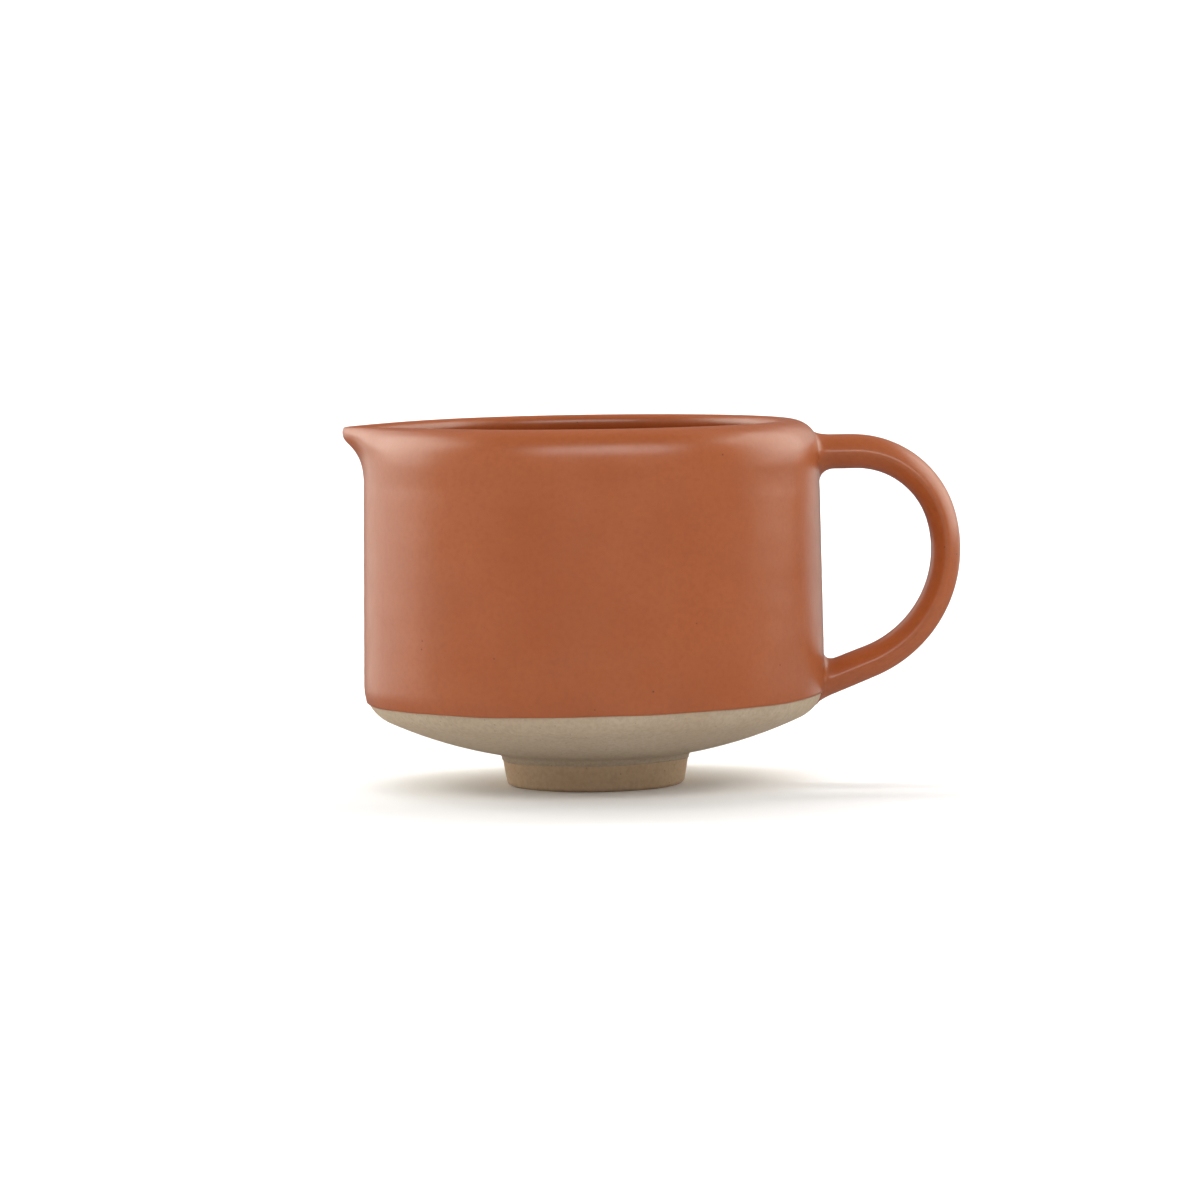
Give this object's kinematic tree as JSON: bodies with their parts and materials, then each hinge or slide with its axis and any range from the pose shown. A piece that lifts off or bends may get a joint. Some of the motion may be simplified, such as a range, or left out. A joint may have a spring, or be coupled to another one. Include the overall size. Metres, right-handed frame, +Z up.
{
  "type": "ceramic pitcher",
  "caption": "Small stoneware pitcher with a rounded wall and shallow bowl, a pulled pouring lip, an open strap handle and a narrow foot ring.",
  "frame": {"origin": "centre of the foot ring's standing face, on the body's axis", "axes": "+Z up, +X towards the handle, -X towards the pouring lip"},
  "size_m": [0.1338, 0.1, 0.0788],
  "materials": {
    "body_clay": "bare fired buff stoneware, matte",
    "foot_clay": "bare fired buff stoneware, matte, a little darker at the standing edge",
    "handle_clay": "fired stoneware under the glaze",
    "slip": "fired slip, matte",
    "glaze": "satin terracotta glaze with sparse fine dark specks, the same inside and out"
  },
  "bodies": {
    "root": {"stoneware_body": "body_clay", "foot_ring": "foot_clay", "foot_slip_joint": "slip", "handle": "handle_clay", "upper_handle_slip_joint": "slip", "lower_handle_slip_joint": "slip", "interior_glaze": "glaze", "exterior_glaze": "glaze"}
  },
  "joints": []
}
